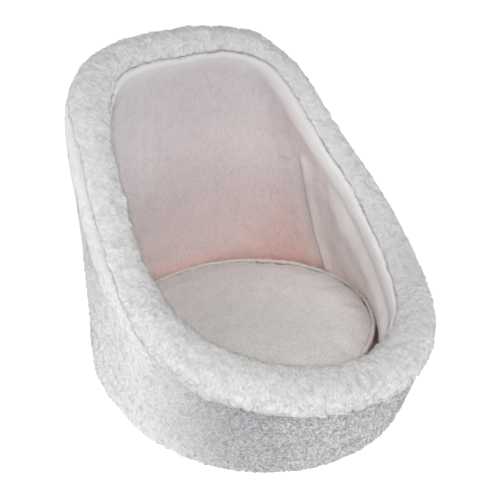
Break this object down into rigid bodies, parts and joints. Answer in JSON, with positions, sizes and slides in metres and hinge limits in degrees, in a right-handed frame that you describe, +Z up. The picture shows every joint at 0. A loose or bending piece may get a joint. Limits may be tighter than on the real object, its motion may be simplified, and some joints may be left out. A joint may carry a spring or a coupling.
{
  "type": "pet cushion bed",
  "caption": "High-backed padded oval pet bed with a stuffed rim roll, plush outside, napped lining and a loose oval cushion on its floor.",
  "frame": {"origin": "on the floor, under the middle of the bed's bounding box", "axes": "+Z up, the open low front faces -Y, the tall back stands at +Y, +X to the right as seen from the front"},
  "size_m": [0.3954, 0.438, 0.4146],
  "materials": {
    "outer_plush": "curly cool-white plush",
    "rim_plush": "short warm-white plush",
    "lining": "short nap, very pale pink",
    "cushion_cloth": "short nap, off-white",
    "base_cloth": "plain matt woven cloth",
    "foam": null,
    "fibre": "loose polyester fibre stuffing"
  },
  "bodies": {
    "tub": {"outer_cover": "outer_plush", "rim_cover": "rim_plush", "rim_filling": "fibre", "wall_foam": "foam", "back_foam": "foam", "base_foam": "foam", "wall_lining": "lining", "back_lining": "lining", "floor_lining": "lining", "base_fabric": "base_cloth"},
    "cushion": {"cushion_top_cover": "cushion_cloth", "cushion_bottom_cover": "cushion_cloth", "cushion_filling": "fibre"}
  },
  "joints": [
    {"name": "cushion_lift", "type": "slide", "parent": "tub", "child": "cushion", "axis": [0, 0, 1], "range_m": [0, 0.05]}
  ]
}
